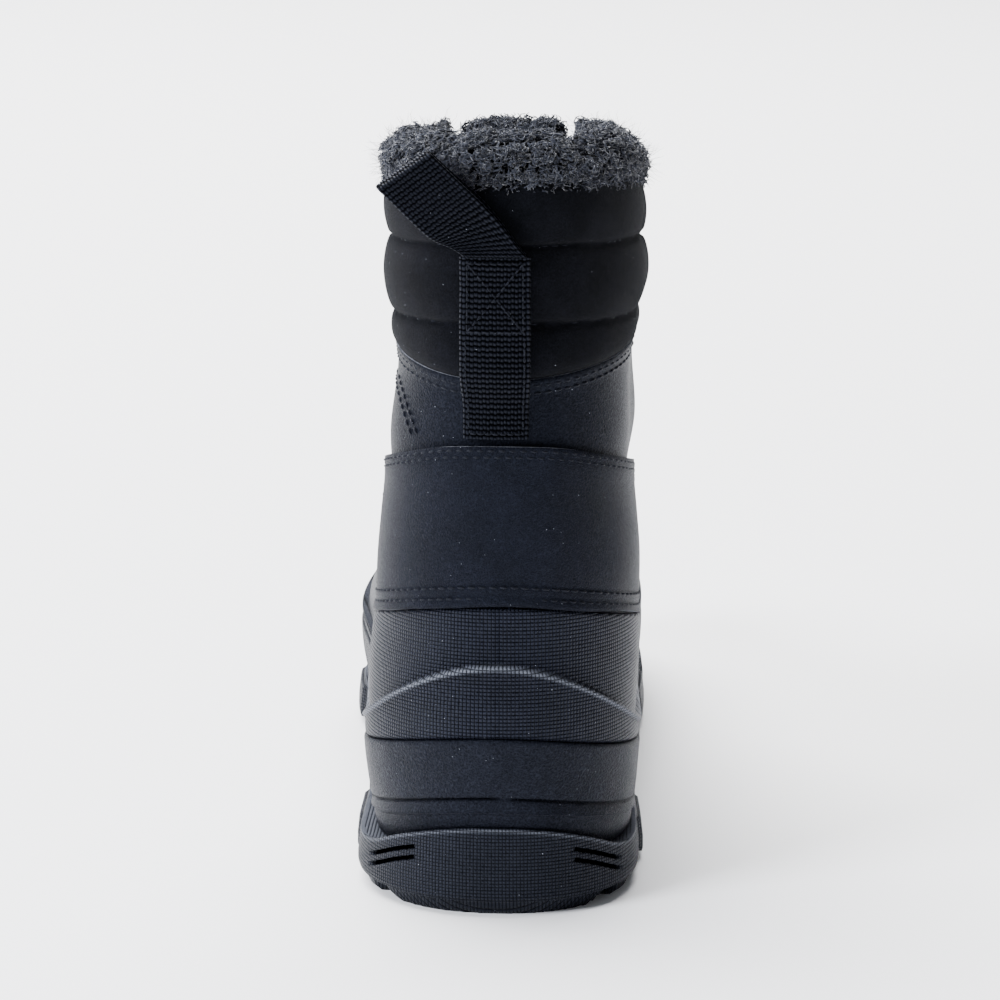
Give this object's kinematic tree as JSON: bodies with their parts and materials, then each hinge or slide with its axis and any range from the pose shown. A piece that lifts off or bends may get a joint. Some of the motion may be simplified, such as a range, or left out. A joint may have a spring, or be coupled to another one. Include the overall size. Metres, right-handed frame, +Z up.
{
  "type": "snow boot",
  "caption": "Left winter boot with a quilted shaft, curly fleece collar, webbing pull loop, rubber shell and thick lugged sole, laced at the front.",
  "frame": {"origin": "on the floor under the middle of the heel, where a lug of the heel rests", "axes": "+Z up, +Y towards the toe, +X towards the inner side of the foot"},
  "size_m": [0.1073, 0.3002, 0.2454],
  "materials": {
    "outsole_rubber": "moulded, fine square grid, matt",
    "midsole_rubber": "moulded, leather grain, matt",
    "shell_rubber": "moulded, fine square grid, satin",
    "footbed_felt": "felt footbed",
    "upper_leather": "coated synthetic leather and brushed nubuck, matt",
    "tongue_fabric": "brushed padded fabric",
    "counter_leather": "coated synthetic leather, matt",
    "eyestay_leather": "coated synthetic leather, matt",
    "fleece": "curly pile fleece, charcoal",
    "webbing": "coarse twill webbing",
    "lace": "round braided lace",
    "eyelet_metal": "dark enamelled ring"
  },
  "bodies": {
    "root": {"outsole": "outsole_rubber", "midsole": "midsole_rubber", "shell": "shell_rubber", "insole": "footbed_felt", "upper": "upper_leather", "tongue": "tongue_fabric", "heel_counter": "counter_leather", "eyestay_outer": "eyestay_leather", "eyestay_inner": "eyestay_leather", "collar_fleece": "fleece", "tongue_fleece": "fleece", "heel_strip": "webbing", "pull_loop": "webbing", "lace_bar_1": "lace", "eyelet_outer_1": "eyelet_metal", "eyelet_inner_1": "eyelet_metal", "lace_bar_2": "lace", "eyelet_outer_2": "eyelet_metal", "eyelet_inner_2": "eyelet_metal", "lace_bar_3": "lace", "eyelet_outer_3": "eyelet_metal", "eyelet_inner_3": "eyelet_metal", "lace_bar_4": "lace", "eyelet_outer_4": "eyelet_metal", "eyelet_inner_4": "eyelet_metal", "lace_bar_5": "lace", "eyelet_outer_5": "eyelet_metal", "eyelet_inner_5": "eyelet_metal", "lace_bar_6": "lace", "eyelet_outer_6": "eyelet_metal", "eyelet_inner_6": "eyelet_metal"}
  },
  "joints": []
}
